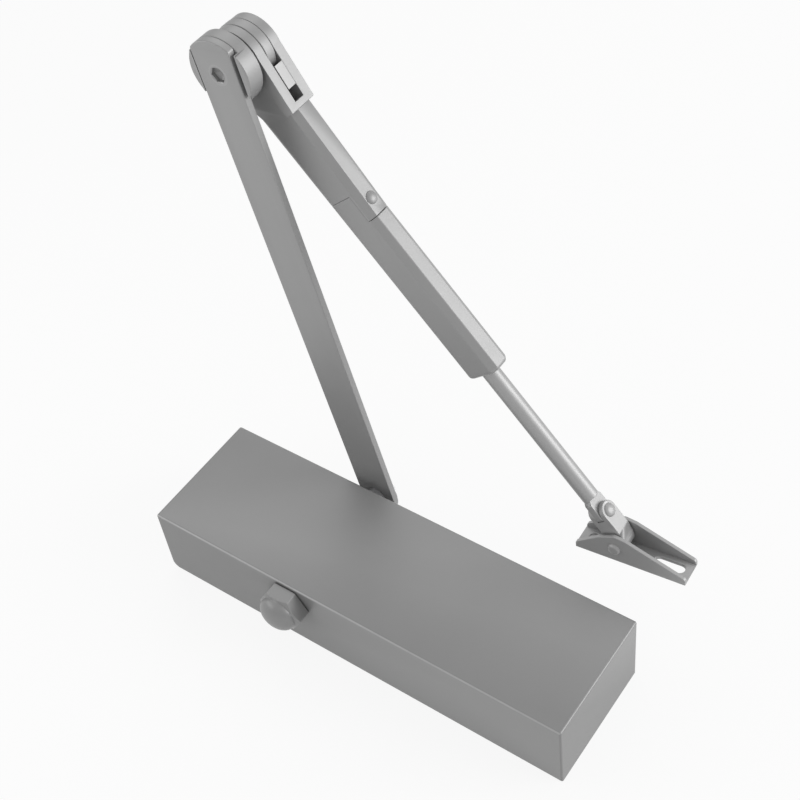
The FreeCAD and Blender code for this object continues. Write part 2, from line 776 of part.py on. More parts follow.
def make_elbow():
    disc = new_body("hold_open_disc", elbow_place)
    pad(disc, "y", disc_front, disc_rear, circle(0, 0, d.disc_diameter))
    half = d.disc_channel / 2
    cut(disc, "y", disc_front, arm_back, rectangle(-half, -d.disc_diameter, half, d.disc_diameter))
    cut(disc, "y", arm_back, disc_rear, circle(0, 0, d.elbow_pin))
    pin = new_body("elbow_pin", elbow_place)
    end = fork_rear + d.elbow_gap + d.elbow_nut_height
    radius = d.elbow_pin / 2 - d.seat_gap
    spin(pin, "y", (0, arm_front), (radius, arm_front), (radius, end), (0, end))
    socket = hexagon(size_of(0), size_of(0), d.elbow_socket)
    cut(pin, "y", arm_front, arm_front + d.elbow_socket_depth, socket)
    washer = new_body("elbow_washer", elbow_place)
    hole = d.elbow_pin / 2
    rim = d.elbow_washer_diameter / 2
    back = fork_front - d.elbow_gap / 2
    spin(washer, "y", (hole, disc_rear), (rim, disc_rear), (rim, back), (hole, back))
    cam = new_body("detent_cam", elbow_place)
    low = fork_middle - d.fork_slot / 2 + d.elbow_gap
    high = fork_middle + d.fork_slot / 2 - d.elbow_gap
    pad(cam, "y", low, high, circle(0, 0, d.cam_diameter))
    cut(cam, "y", low, high, circle(0, 0, d.elbow_pin))
    notch = d.cam_diameter / 2
    outside = -notch - PAST
    side = d.cam_notch_width / 2
    cut(cam, "y", low, high, outline((outside, -side), (-notch + d.cam_notch, 0), (outside, side)))
    nut = new_body("elbow_nut", elbow_place)
    pad(nut, "y", fork_rear + d.elbow_gap, end, hexagon(size_of(0), size_of(0), d.elbow_nut_flats))
    cut(nut, "y", fork_rear + d.elbow_gap, end, circle(0, 0, d.elbow_pin))


# Forearm set, in the forearm's own axes: X along the rod, Z out of the flat face, origin at the elbow

def make_fork():
    body = new_body("forearm_fork", forearm_place)
    wide = d.fork_width / 2
    narrow = d.bar_width / 2
    side_view = outline((bar_start, d.fork_shoulder_rise), (d.lap_end, bar_top),
                        (d.lap_end, bar_top - d.lap_depth), (d.lap_start, bar_top - d.lap_depth),
                        (d.lap_start, bar_bottom), (d.fork_radius / 2, bar_bottom))
    pad(body, "y", -narrow, narrow, side_view)

    def bar_edge(edge):
        top = edge.CenterOfMass.z > bar_top.value - 1
        return top and abs(edge.BoundBox.YLength) < 0.01 and edge.BoundBox.XLength > 20

    soften(body, "Chamfer", d.bar_chamfer, bar_edge)

    def keel_edge(edge):
        return runs_along(edge, "x") and near(edge.CenterOfMass.z, bar_bottom.value)

    soften(body, "Fillet", d.bar_round, keel_edge)
    block = outline((0, d.fork_radius), (d.fork_shoulder, d.fork_shoulder_rise),
                    (d.fork_shoulder, bar_bottom + d.bar_round), (d.fork_radius / 2, bar_bottom),
                    (0, -d.fork_radius))
    pad(body, "y", -wide, wide, block)
    pad(body, "y", -wide, wide, circle(0, 0, 2 * d.fork_radius))
    end = d.fork_shoulder + PAST
    for side in (-1, 1):
        wedge = [(d.fork_taper_start, wide), (d.fork_shoulder, narrow), (end, narrow), (end, wide + PAST),
                 (d.fork_taper_start, wide + PAST)]
        cut(body, "z", bar_bottom - PAST, d.fork_flange_low, outline(*[(x, y * side) for x, y in wedge]))
    slot = d.fork_slot / 2
    tall = 2 * d.fork_radius
    cut(body, "y", -slot, slot, rectangle(-tall, -tall, d.fork_slot_end, tall))
    cut(body, "y", -wide, wide, circle(0, 0, d.elbow_pin + 2 * d.running_gap))
    cut(body, "x", d.fork_slot_end, d.fork_slot_end + d.pawl_spring_reach, circle(0, 0, d.pawl_spring_bore))
    cut(body, "z", bar_top - 2 * d.lap_depth, bar_top + PAST, circle(d.lap_screw_along, 0, d.lap_screw))
    spot = d.lap_screw_head + 4 * d.seat_gap
    cut(body, "z", lap_seat, lap_seat + d.lap_depth, circle(d.lap_screw_along, 0, spot))


def make_pawl():
    nose = d.cam_diameter / 2 + d.pawl_gap
    body = new_body("detent_pawl", forearm_place)
    half = d.pawl_height / 2
    wide = d.fork_slot / 2 - d.elbow_gap
    back = nose + d.pawl_length
    slope = (d.fork_shoulder_rise - d.fork_radius) / d.fork_shoulder
    brow = d.fork_radius + d.pawl_proud
    hollow = math.radians(d.pawl_hollow.value)
    horn = d.pawl_horn_along
    tip = d.pawl_nose / 2
    pad(body, "y", -wide, wide, outline((nose, -tip), (back - d.pawl_heel, -half), (back, -half),
                                        (back, brow + slope * back), (horn, brow + slope * horn),
                                        (nose * math.cos(hollow), nose * math.sin(hollow)), (nose, tip)))
    length = d.fork_slot_end + d.pawl_spring_reach - back
    mean = d.pawl_spring_bore - 2 * d.pawl_spring_wire
    make_coil("detent_spring", forearm_place, back, length, mean, d.pawl_spring_wire, d.pawl_spring_turns)


def make_sleeve():
    body = new_body("forearm_sleeve", forearm_place)
    narrow = d.bar_width / 2
    pad(body, "x", d.lap_start, d.sleeve_end, rectangle(-narrow, bar_bottom, narrow, bar_top))

    def top_edge(edge):
        return runs_along(edge, "x") and near(edge.CenterOfMass.z, bar_top.value)

    soften(body, "Chamfer", d.bar_chamfer, top_edge)

    def keel_edge(edge):
        return runs_along(edge, "x") and near(edge.CenterOfMass.z, bar_bottom.value)

    soften(body, "Fillet", d.bar_round, keel_edge)

    def end_edge(edge):
        return near(edge.BoundBox.XMin, d.sleeve_end.value)

    soften(body, "Fillet", d.sleeve_round, end_edge)
    step = rectangle(-d.bar_width, bar_top - d.lap_depth, d.bar_width, bar_top + PAST)
    cut(body, "x", d.lap_start, d.lap_end + d.lap_gap, step)
    cut(body, "x", d.rod_socket, d.sleeve_end, circle(0, -d.rod_offset, d.rod_diameter + 2 * d.running_gap))
    cut(body, "z", bar_bottom, -d.rod_offset, circle(d.clamp_along, 0, d.clamp_screw))
    deep = bar_top - 2 * d.lap_depth
    cut(body, "z", deep, bar_top, circle(d.lap_screw_along, 0, d.lap_screw))
    screw_place = forearm_place.multiply(Placement(Vector(d.lap_screw_along.value, 0, 0),
                                                   Rotation(Vector(1, 0, 0), 90)))
    screw = new_body("lap_screw", screw_place)
    stem = d.lap_screw / 2 - d.seat_gap
    head = d.lap_screw_head / 2
    spin(screw, "y", (0, deep), (stem, deep), (stem, lap_seat),
         *reversed(round_top(head, lap_seat, d.lap_screw_rise)))
    clamp_place = forearm_place.multiply(Placement(Vector(d.clamp_along.value, 0, 0),
                                                   Rotation(Vector(1, 0, 0), 90)))
    clamp = new_body("rod_clamp_screw", clamp_place)
    grip = -d.rod_offset - d.rod_diameter / 2 - d.running_gap
    stem = d.clamp_screw / 2 - d.seat_gap
    point = d.clamp_point
    spin(clamp, "y", (0, bar_bottom), (stem, bar_bottom), (stem, grip - point), (stem - point, grip),
         (0, grip))
    socket = hexagon(size_of(0), size_of(0), d.clamp_screw / 2)
    cut(clamp, "y", bar_bottom, bar_bottom + d.clamp_socket_depth, socket)


# Rod with its flattened eye

def make_rod():
    body = new_body("forearm_rod", rod_place)
    pad(body, "x", d.rod_start, d.eye_along, circle(0, 0, d.rod_diameter))
    half = d.eye_thickness / 2
    reach = d.rod_diameter
    flat_start = d.eye_along - d.eye_flat
    flats = [rectangle(-reach, half, reach, reach), rectangle(-reach, -reach, reach, -half)]
    cut(body, "x", flat_start, d.eye_along + reach, flats[0])
    cut(body, "x", flat_start, d.eye_along + reach, flats[1])
    flare = flat_start + d.eye_flare
    neck = d.rod_diameter / 2 - d.eye_neck
    cheek = outline((flat_start, -neck), (flare, -d.eye_radius), (d.eye_along, -d.eye_radius),
                    (d.eye_along, d.eye_radius), (flare, d.eye_radius), (flat_start, neck))
    pad(body, "z", -half, half, cheek)
    pad(body, "z", -half, half, circle(d.eye_along, 0, 2 * d.eye_radius))
    hole = circle(d.eye_along, 0, d.link_rivet + 2 * d.running_gap)
    cut(body, "z", -half, half, hole)


# Link: an eye above and below the rod's eye, and a barrel for the shoe pin

def make_link():
    body = new_body("shoe_link", rod_place)
    gap = d.eye_thickness / 2 + d.elbow_gap
    top = gap + d.link_ear
    bottom = -top
    eye = circle(d.eye_along, 0, 2 * d.link_eye_radius)
    pad(body, "z", bottom, top, eye)
    web = d.eye_along + d.link_web
    half = d.barrel_length / 2
    barrel_z = -d.barrel_drop
    strap = outline((d.eye_along, -d.link_eye_radius), (web, -half), (barrel_x, -half), (barrel_x, half),
                    (web, half), (d.eye_along, d.link_eye_radius))
    pad(body, "z", bottom, top, strap)
    crease = d.eye_along + d.link_crease
    facet_end = barrel_x + d.link_facet_along
    facet_low = barrel_z + d.barrel_diameter / 2
    past = barrel_x + d.barrel_diameter
    facet = outline((crease, top), (facet_end, facet_low), (past, facet_low), (past, top + PAST),
                    (crease, top + PAST))
    cut(body, "y", -half, half, facet)
    pad(body, "y", -half, half, circle(barrel_x, barrel_z, d.barrel_diameter))
    wide = 2 * d.link_eye_radius
    cut(body, "y", -wide, wide, rectangle(d.eye_along - wide, -gap, d.eye_along, gap))
    cut(body, "z", -gap, gap, circle(d.eye_along, 0, 2 * (d.eye_radius + 2 * d.elbow_gap)))
    cut(body, "z", bottom, top, circle(d.eye_along, 0, d.link_rivet))
    cut(body, "y", -half, half, circle(barrel_x, barrel_z, d.shoe_pin + 2 * d.running_gap))
    rivet_place = rod_place.multiply(Placement(Vector(d.eye_along.value, 0, 0),
                                               Rotation(Vector(1, 0, 0), 90)))
    rivet = new_body("link_rivet", rivet_place)
    stem = d.link_rivet / 2 - d.seat_gap
    head = d.link_rivet_head / 2
    rise = d.link_rivet_rise
    spin(rivet, "y", (0, bottom - rise), (head * d.head_flat, bottom - rise), (head, bottom), (stem, bottom),
         (stem, top), *reversed(round_top(head, top, rise)))


# Shoe: a channel with tapered cheeks, a slot and a hole in its base, and the pin through the cheeks

def make_shoe():
    body = new_body("shoe", shoe_place)
    half = d.shoe_width / 2
    floor = -d.shoe_depth
    side_view = outline((-d.shoe_left, floor), (d.shoe_right, floor),
                        (d.shoe_right, floor + d.shoe_right_rise), (d.shoe_brow_along, floor + d.shoe_brow),
                        (-d.shoe_peak_along, floor + d.shoe_peak),
                        (-d.shoe_shoulder_along, floor + d.shoe_shoulder),
                        (-d.shoe_left, floor + d.shoe_left_rise))
    pad(body, "y", -half, half, side_view)
    inner = half - d.shoe_sheet
    trough = rectangle(-d.shoe_left - PAST, floor + d.shoe_sheet, d.shoe_right + PAST, d.shoe_peak)
    cut(body, "y", -inner, inner, trough)
    slot_half = d.shoe_slot_width / 2
    slot_from = d.shoe_slot_start + slot_half
    slot_to = d.shoe_slot_start + d.shoe_slot_length - slot_half
    under = floor - PAST
    cut(body, "z", under, floor + d.shoe_sheet, rectangle(slot_from, -slot_half, slot_to, slot_half))
    for end in (slot_from, slot_to, -d.shoe_hole_along):
        cut(body, "z", under, floor + d.shoe_sheet, circle(end, 0, d.shoe_slot_width))
    cut(body, "y", -half, half, circle(0, 0, d.shoe_pin))

    def cheek_edge(edge):
        middle = edge.CenterOfMass
        return runs_along(edge, "y") and middle.z > floor.value + 1 and abs(middle.y) > inner.value

    soften(body, "Fillet", d.shoe_sheet, cheek_edge)
    pin = new_body("shoe_pin", shoe_place)
    stem = d.shoe_pin / 2 - d.seat_gap
    head = d.shoe_pin_head / 2
    rise = d.shoe_pin_rise
    flat = head * d.head_flat
    rim = half + rise * d.head_rim
    spin(pin, "y", (0, -half - rise), (flat, -half - rise), (head, -rim), (head, -half), (stem, -half),
         (stem, half), (head, half), (head, rim), (flat, half + rise), (0, half + rise))


make_cover()
make_casting()
make_valves()
make_spindle()
make_spindle_rings()
make_cap_nut()
make_piston()
make_spring_end()
make_main_arm()
make_elbow()
make_fork()
make_pawl()
make_sleeve()
make_rod()
make_link()
make_shoe()
doc.recompute()

for thing in doc.Objects:
    if "Invalid" in thing.State or "Error" in thing.State:
        raise RuntimeError(f"{thing.Label} did not recompute: {thing.State}")
for piece in parts:
    if piece.Shape.isNull() or not piece.Shape.isValid() or not piece.Shape.Solids:
        raise RuntimeError(f"{piece.Label} has no valid solid")

os.makedirs("parts", exist_ok=True)
for piece in parts:
    piece.Shape.exportStep(f"parts/{piece.Label}.step")
print(f"{len(parts)} sub-parts written")
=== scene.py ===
"""Looks of a hydraulic door closer with a folding hold-open arm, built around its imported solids."""
import json
import math

import bmesh
import bpy
from bpy.props import FloatProperty, FloatVectorProperty, PointerProperty
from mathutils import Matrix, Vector
from mathutils.geometry import intersect_point_line


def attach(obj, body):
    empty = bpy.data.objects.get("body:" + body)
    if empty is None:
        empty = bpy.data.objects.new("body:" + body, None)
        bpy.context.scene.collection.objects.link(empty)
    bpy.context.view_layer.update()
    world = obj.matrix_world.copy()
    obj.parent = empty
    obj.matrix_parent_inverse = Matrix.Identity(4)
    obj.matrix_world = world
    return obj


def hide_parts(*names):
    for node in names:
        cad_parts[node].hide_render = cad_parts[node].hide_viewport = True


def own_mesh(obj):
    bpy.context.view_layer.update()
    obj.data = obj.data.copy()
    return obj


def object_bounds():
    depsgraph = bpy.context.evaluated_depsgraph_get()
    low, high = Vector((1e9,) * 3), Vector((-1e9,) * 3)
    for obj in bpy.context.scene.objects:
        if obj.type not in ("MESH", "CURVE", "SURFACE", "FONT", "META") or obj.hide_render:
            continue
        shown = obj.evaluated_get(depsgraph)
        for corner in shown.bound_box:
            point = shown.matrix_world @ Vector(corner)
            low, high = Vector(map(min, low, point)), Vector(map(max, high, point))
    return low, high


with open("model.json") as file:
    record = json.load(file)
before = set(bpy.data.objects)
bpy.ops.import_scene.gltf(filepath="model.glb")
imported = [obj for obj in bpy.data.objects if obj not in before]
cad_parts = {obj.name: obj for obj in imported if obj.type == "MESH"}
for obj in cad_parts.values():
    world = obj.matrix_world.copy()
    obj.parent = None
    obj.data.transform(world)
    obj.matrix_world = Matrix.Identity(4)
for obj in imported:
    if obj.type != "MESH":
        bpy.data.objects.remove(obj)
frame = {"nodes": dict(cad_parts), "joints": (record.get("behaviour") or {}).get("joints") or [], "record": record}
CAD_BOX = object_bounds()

bl_info = {
    "name": "Hydraulic door closer",
    "version": (1, 0, 0),
    "blender": (4, 5, 0),
    "location": "View3D > Sidebar > Door closer",
    "description": "Builds the enamelled pieces, the hardware and the studio of a door closer",
    "category": "Add Mesh",
}

MM = 0.001
RECORD = frame["record"]
JOINTS = {joint["name"]: joint for joint in frame["joints"]}
BODY_OF = {node: body for body, nodes in RECORD["behaviour"]["bodies"].items() for node in nodes}
SLOT_OF = {part["node"]: part["material_slot"] for part in RECORD["subparts"]}


# Sizes, colours and light that a user would change

def length(name, description, millimetres):
    return FloatProperty(name=name, description=description, default=millimetres * MM, min=0.0,
                         unit="LENGTH")


def colour(name, description, rgb):
    return FloatVectorProperty(name=name, description=description, default=rgb, subtype="COLOR",
                               min=0.0, max=1.0)


def power(name, description, watts):
    return FloatProperty(name=name, description=description, default=watts, min=0.0, unit="POWER")


class CloserSizes(bpy.types.PropertyGroup):
    """Roundings and hardware of the pieces."""
    cover_edge: length("Cover edge", "Rounding of the cover's rims and hole edges", 0.4)
    forged_edge: length("Forged edge", "Rounding of the forged arm pieces", 0.6)
    fork_edge: length("Fork edge", "Rounding of the forearm's fork", 0.3)
    pressed_edge: length("Pressed edge", "Rounding of the pressed shoe and link", 0.5)
    turned_edge: length("Turned edge", "Rounding of pins, screws and nuts", 0.3)
    hidden_edge: length("Inner edge", "Rounding of the machined pieces inside the cover", 0.2)
    nut_hole: length("Nut hole", "Threaded hole of the cap nut", 14.06)
    nut_dome: length("Nut dome", "Diameter of the cap nut's dome", 26.4)
    nut_dome_rise: length("Nut dome rise", "Height of the cap nut's dome above its hexagon", 8.6)
    arm_screw: length("Arm screw", "Diameter of the screw that holds the arm", 8.0)
    arm_screw_head: length("Arm screw head", "Height of the arm screw's head", 5.0)
    elbow_pin: length("Elbow pin", "Diameter of the elbow's pivot pin", 13.0)
    elbow_socket: length("Elbow socket", "Width across the flats of the pin's socket", 8.5)
    elbow_socket_depth: length("Socket depth", "Depth of the pin's socket", 2.5)
    detent_wire: length("Detent wire", "Wire of the pawl's spring", 0.8)
    lap_screw: length("Lap screw", "Diameter of the lap screw's stem", 3.94)
    lap_screw_rise: length("Lap screw head", "Height of the lap screw's round head", 2.1)
    link_rivet: length("Link rivet", "Diameter of the rivet's stem", 6.0)
    link_rivet_rise: length("Rivet head", "Height of the rivet's heads", 2.2)
    shoe_pin: length("Shoe pin", "Diameter of the shoe pin's stem", 6.0)
    shoe_pin_rise: length("Shoe pin head", "Height of the shoe pin's heads", 2.0)
    spring_wire: length("Spring wire", "Wire of the closing spring", 4.0)


class CloserColours(bpy.types.PropertyGroup):
    """Colours of the finishes."""
    # The cover, arm, nut and rod are one grey paint, set lighter or darker piece by piece: painted light and shade
    cover: colour("Cover enamel", "Grey enamel of the cover", (0.24, 0.24, 0.24))
    arm: colour("Arm enamel", "Grey enamel of the arms", (0.335, 0.335, 0.335))
    nut: colour("Nut enamel", "Grey enamel of the cap nut", (0.27, 0.27, 0.27))
    rod: colour("Rod enamel", "Grey enamel of the rod, link and shoe", (0.39, 0.39, 0.39))
    steel: colour("Steel", "Machined steel", (0.50, 0.50, 0.51))
    iron: colour("Cast iron", "Raw skin of the cylinder casting", (0.16, 0.16, 0.17))
    spring: colour("Spring steel", "Oiled spring wire", (0.12, 0.12, 0.13))
    bronze: colour("Bronze", "Sintered spindle bearings", (0.52, 0.35, 0.16))
    brass: colour("Brass", "Regulating valves", (0.62, 0.47, 0.22))
    gland: colour("Gland metal", "Turned light alloy", (0.55, 0.55, 0.56))
    rubber: colour("Rubber", "Seals and rings", (0.03, 0.03, 0.03))
    plastic: colour("Ring plastic", "Piston ring", (0.55, 0.50, 0.42))


class CloserStudio(bpy.types.PropertyGroup):
    """Light and camera."""
    key_power: power("Key", "Power of the large light at the right", 21.0)
    back_power: power("Back", "Power of the large light behind and above", 5.0)
    strip_power: power("Strip", "Power of the narrow light at the front left", 0.7)
    fill_level: FloatProperty(name="Fill", description="Strength of the even light from all round",
                              default=0.67, min=0.0)
    lens: FloatProperty(name="Lens", description="Focal length on a 36 mm wide sensor",
                        default=66.86, min=1.0, unit="CAMERA")


# Materials: one class for values, one for the nodes of a finish

# Sizes of the patterns, in metres
FLAKE_SIZE = 0.00025
ENAMEL_CLOUD_SIZE = 0.05
DUST_SIZE = 0.012
FORGED_SKIN_SIZE = 0.0012
TOOL_MARK_SIZE = 0.004
DULL_PATCH_SIZE = 0.01
SAND_SIZE = 0.0009
CAST_LUMP_SIZE = 0.006
RUST_SIZE = 0.02
MOULD_SKIN_SIZE = 0.0006
BLOOM_SIZE = 0.008

# Depths of the bumps, in metres
PEEL_DEPTH = 0.0004
TOOL_MARK_DEPTH = 0.0002
SAND_DEPTH = 0.0006
MOULD_SKIN_DEPTH = 0.0002

# Where a mask starts and where it is full
# Enamel edges: lighter as rubbed paint and as a painted highlight
WORN_AND_HIGHLIT_ENAMEL = (0.53, 0.60)
RUBBED_METAL = (0.53, 0.62)
# Where the painted highlight on a box's front-top edge starts and where it is full
FRONT_EDGE_HIGHLIGHT = (0.45, 0.95)
RUSTED = (0.55, 0.75)

# How many times finer tool marks are along each axis
TURNED_MARKS = (1, 40, 1)
EVEN_MARKS = (1, 1, 1)

RUST_COLOUR = (0.16, 0.11, 0.08)
# Place of the colour among a Mix node's outputs, which all have one name
MIXED_COLOUR = 2


class Value:
    """A number that varies over a surface; arithmetic on it adds Math nodes."""

    def __init__(self, finish, socket):
        self.finish = finish
        self.socket = socket

    def math(self, operation, first, second):
        return self.finish.node("Math", {"operation": operation}, i0=first, i1=second)

    def __add__(self, other):
        return self.math("ADD", self, other)

    def __radd__(self, other):
        return self.math("ADD", other, self)

    def __sub__(self, other):
        return self.math("SUBTRACT", self, other)

    def __rsub__(self, other):
        return self.math("SUBTRACT", other, self)

    def __mul__(self, other):
        return self.math("MULTIPLY", self, other)

    def __rmul__(self, other):
        return self.math("MULTIPLY", other, self)

    def most(self, other):
        return self.math("MAXIMUM", self, other)


class Finish:
    """The node tree of a material or a world."""

    def __init__(self, owner):
        self.owner = owner
        owner.use_nodes = True
        self.tree = owner.node_tree
        self.tree.nodes.clear()

    def feed(self, socket, given):
        """Link a value to a socket, or set the socket to a constant."""
        if isinstance(given, Value):
            self.tree.links.new(given.socket, socket)
        else:
            socket.default_value = given

    def node(self, kind, settings=None, output=0, **sockets):
        """Add a node and return one of its outputs.

        A key such as Base_Color names a socket; one such as i2 is for sockets that share a name.
        """
        node = self.tree.nodes.new("ShaderNode" + kind)
        for key, setting in (settings or {}).items():
            setattr(node, key, setting)
        for key, given in sockets.items():
            name = key.replace("_", " ")
            matches = [socket for socket in node.inputs if socket.name == name and socket.enabled]
            self.feed(matches[0] if matches else node.inputs[int(key[1:])], given)
        return Value(self, node.outputs[output]) if node.outputs else None

    def noise(self, size, detail=3.0, roughness=0.5, stretch=EVEN_MARKS):
        """Cloudy pattern from 0 to 1 whose lumps are about size across."""
        place = self.node("TexCoord", output="Object")
        scaled = self.node("Mapping", Vector=place, Scale=stretch)
        return self.node("TexNoise", Vector=scaled, Scale=1.0 / size, Detail=detail,
                         Roughness=roughness)

    def grains(self, size):
        """Random value from 0 to 1 in each cell about size across."""
        place = self.node("TexCoord", output="Object")
        cells = self.node("TexVoronoi", output="Color", Vector=place, Scale=1.0 / size)
        return self.node("SeparateColor", Color=cells)

    def mask(self, value, start, full):
        """0 up to start, 1 from full on."""
        return self.node("MapRange", Value=value, From_Min=start, From_Max=full)

    def edges(self, start, full):
        """1 on outer edges, 0 on flats."""
        return self.mask(self.node("NewGeometry", output="Pointiness"), start, full)

    def front_edge_highlight(self):
        """Mask of a painted highlight: 1 on the edge between a box's front and top, 0 on flats."""
        facing = self.node("TexCoord", output="Normal")
        across = self.node("SeparateXYZ", output="Y", Vector=facing)
        upward = self.node("SeparateXYZ", output="Z", Vector=facing)
        return self.mask(across * upward * -2.0, *FRONT_EDGE_HIGHLIGHT)

    def tint(self, factor, start, end):
        """Colour between two colours by a factor; the first may vary."""
        first = start if isinstance(start, Value) else (*start, 1.0)
        return self.node("Mix", {"data_type": "RGBA"}, MIXED_COLOUR, Factor=factor, A=first,
                         B=(*end, 1.0))

    def bump(self, height, strength, distance):
        return self.node("Bump", Strength=strength, Distance=distance, Height=height)

    def surface(self, **sockets):
        """Finish a material with a principled surface."""
        shader = self.node("BsdfPrincipled", **sockets)
        self.node("OutputMaterial", Surface=shader)
        return self.owner


def new_finish(name):
    return Finish(bpy.data.materials.new(name))


def shade(rgb, factor):
    return tuple(min(1.0, channel * factor) for channel in rgb)


def enamel(name, rgb, peel, skin=0.0, gloss=0.42, metallic=0.45, front_highlight_gain=None):
    """Sprayed grey enamel: fine flake, orange peel, edges lighter as rubbed paint and as a painted highlight, and
    a faint film of dust.

    Where front_highlight_gain is given, a box's front edge gets a painted highlight of that many times the colour.
    """
    finish = new_finish(name)
    flake = finish.grains(FLAKE_SIZE)
    cloud = finish.noise(ENAMEL_CLOUD_SIZE, detail=4.0)
    dust = finish.noise(DUST_SIZE, detail=5.0, roughness=0.65)
    # Edges made lighter: partly rubbed paint, partly a painted highlight
    lighter_edges = finish.edges(*WORN_AND_HIGHLIT_ENAMEL)
    tone = flake * 0.08 + cloud * 0.24 + dust * 0.14 + lighter_edges * 0.5
    base = finish.tint(tone, shade(rgb, 0.90), shade(rgb, 1.20))
    # Painted highlight: the front-top edge made lighter, broken up a little by the dust pattern
    if front_highlight_gain:
        base = finish.tint(finish.front_edge_highlight() * (0.6 + dust * 0.4), base, shade(rgb, front_highlight_gain))
    rough = gloss + dust * 0.08 + flake * 0.03 - lighter_edges * 0.06
    height = finish.noise(peel, detail=1.0) + finish.noise(FORGED_SKIN_SIZE, detail=4.0) * skin
    normal = finish.bump(height, 0.03 + 0.05 * skin, PEEL_DEPTH)
    return finish.surface(Base_Color=base, Roughness=rough, Normal=normal, Metallic=metallic,
                          Coat_Weight=0.1, Coat_Roughness=0.35)


def machined(name, rgb, stretch=TURNED_MARKS, gloss=0.3):
    """Bare metal with fine tool marks and dull patches."""
    finish = new_finish(name)
    marks = finish.noise(TOOL_MARK_SIZE, detail=5.0, roughness=0.7, stretch=stretch)
    patches = finish.noise(DULL_PATCH_SIZE)
    lighter_edges = finish.edges(*RUBBED_METAL)
    tone = marks * 0.4 + patches * 0.3 + lighter_edges * 0.3
    base = finish.tint(tone, shade(rgb, 0.75), shade(rgb, 1.2))
    rough = gloss + marks * 0.15 + patches * 0.1 - lighter_edges * 0.1
    normal = finish.bump(marks, 0.08, TOOL_MARK_DEPTH)
    return finish.surface(Base_Color=base, Roughness=rough, Normal=normal, Metallic=1.0)


def rough_cast(name, rgb):
    """Sand-cast iron skin with a little rust."""
    finish = new_finish(name)
    sand = finish.noise(SAND_SIZE, detail=5.0, roughness=0.7)
    lumps = finish.noise(CAST_LUMP_SIZE)
    rust = finish.mask(finish.noise(RUST_SIZE, detail=6.0, roughness=0.7), *RUSTED)
    base = finish.tint(sand * 0.6 + lumps * 0.4, shade(rgb, 0.7), shade(rgb, 1.35))
    stained = finish.tint(rust * 0.35, base, RUST_COLOUR)
    rough = 0.62 + sand * 0.2
    normal = finish.bump(sand + lumps, 0.25, SAND_DEPTH)
    return finish.surface(Base_Color=stained, Roughness=rough, Normal=normal, Metallic=0.5)


def moulded(name, rgb, gloss=0.55):
    """Rubber or plain plastic with a dull moulded skin."""
    finish = new_finish(name)
    bloom = finish.noise(BLOOM_SIZE, detail=4.0)
    base = finish.tint(bloom, shade(rgb, 0.8), shade(rgb, 1.5))
    rough = gloss + bloom * 0.2
    normal = finish.bump(finish.noise(MOULD_SKIN_SIZE), 0.12, MOULD_SKIN_DEPTH)
    return finish.surface(Base_Color=base, Roughness=rough, Normal=normal)


FINISHES = {
    # The cover's front-top edge gets a painted highlight of 1.9 times its grey
    "cover_paint": lambda c: enamel("cover_enamel", c.cover, peel=0.003, metallic=0.25, front_highlight_gain=1.9),
    "arm_paint": lambda c: enamel("arm_enamel", c.arm, peel=0.002, skin=0.5),
    "nut_paint": lambda c: enamel("nut_enamel", c.nut, peel=0.002, skin=0.3, gloss=0.36,
                                  metallic=0.35),
    "rod_paint": lambda c: enamel("rod_enamel", c.rod, peel=0.004),
    "steel": lambda c: machined("machined_steel", c.steel),
    "spring_steel": lambda c: machined("oiled_spring_wire", c.spring, EVEN_MARKS, gloss=0.35),
    "bronze": lambda c: machined("sintered_bronze", c.bronze, EVEN_MARKS, gloss=0.45),
    "valve_brass": lambda c: machined("turned_brass", c.brass),
    "gland_metal": lambda c: machined("turned_alloy", c.gland),
    "cast_iron": lambda c: rough_cast("sand_cast_iron", c.iron),
    "rubber": lambda c: moulded("black_rubber", c.rubber),
    "ring_plastic": lambda c: moulded("bearing_plastic", c.plastic, gloss=0.4),
}
made_finishes = {}


def finish_for(slot):
    if slot not in made_finishes:
        made_finishes[slot] = FINISHES[slot](bpy.context.scene.closer_colours)
    return made_finishes[slot]


# Directions of the rest pose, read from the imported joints

def joint_place(name):
    return Vector(JOINTS[name]["pos_m"])


def joint_axis(name):
    return Vector(JOINTS[name]["axis"]).normalized()


ALONG_COVER = Vector((1, 0, 0))
SPINDLE_WAY = Vector((0, 1, 0))
ARM_WAY = joint_place("elbow_turn") - joint_place("spindle_turn")
ARM_SIDE = SPINDLE_WAY.cross(ARM_WAY).normalized()
ROD_WAY = joint_axis("rod_slide")
FOREARM_OUT = ROD_WAY.cross(SPINDLE_WAY)
RIVET_WAY = joint_axis("link_swivel")
SHOE_PIN_WAY = joint_axis("shoe_turn")
PISTON_WAY = joint_axis("piston_slide")


# Pieces and their rounded edges

# An edge that turns by more than this, in degrees, is rounded
EDGE_CREASE = 24
LINK_CREASE = 10.4
# Facets that turn by less than this, in degrees, are one flat
FLAT_ANGLE = 0.6
# An edge that turns by more than this, in degrees, is where a rounding folds over itself
FOLD_ANGLE = 110

# Corners nearer than this, in metres, are one
SAME_SOLID_CORNER = 1e-6
SAME_ROUNDED_CORNER = 2e-6
SAME_TURNED_CORNER = 1e-7

# How far from a fold edges stay sharp, in roundings, and how much further at each new trial
FOLD_REACH = 0.8
FOLD_GROWTH = 0.5
FOLD_TRIALS = 8
# How far from the middle of a pin's end edges stay sharp, in radii of the pin
PLAIN_REACH = 1.1
# The most that large faces can count for more than small ones in the shading
LARGE_FACE_WEIGHT = 100
# Faces across a rounding
EDGE_SEGMENTS = 2
FINE_SEGMENTS = 3
ROUNDING = "bevel_weight_edge"


def settle(piece, node):
    """Give a piece its node's finish and body, and hide the imported node."""
    piece.data.materials.clear()
    piece.data.materials.append(finish_for(SLOT_OF[node]))
    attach(piece, BODY_OF[node])
    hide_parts(node)
    return piece


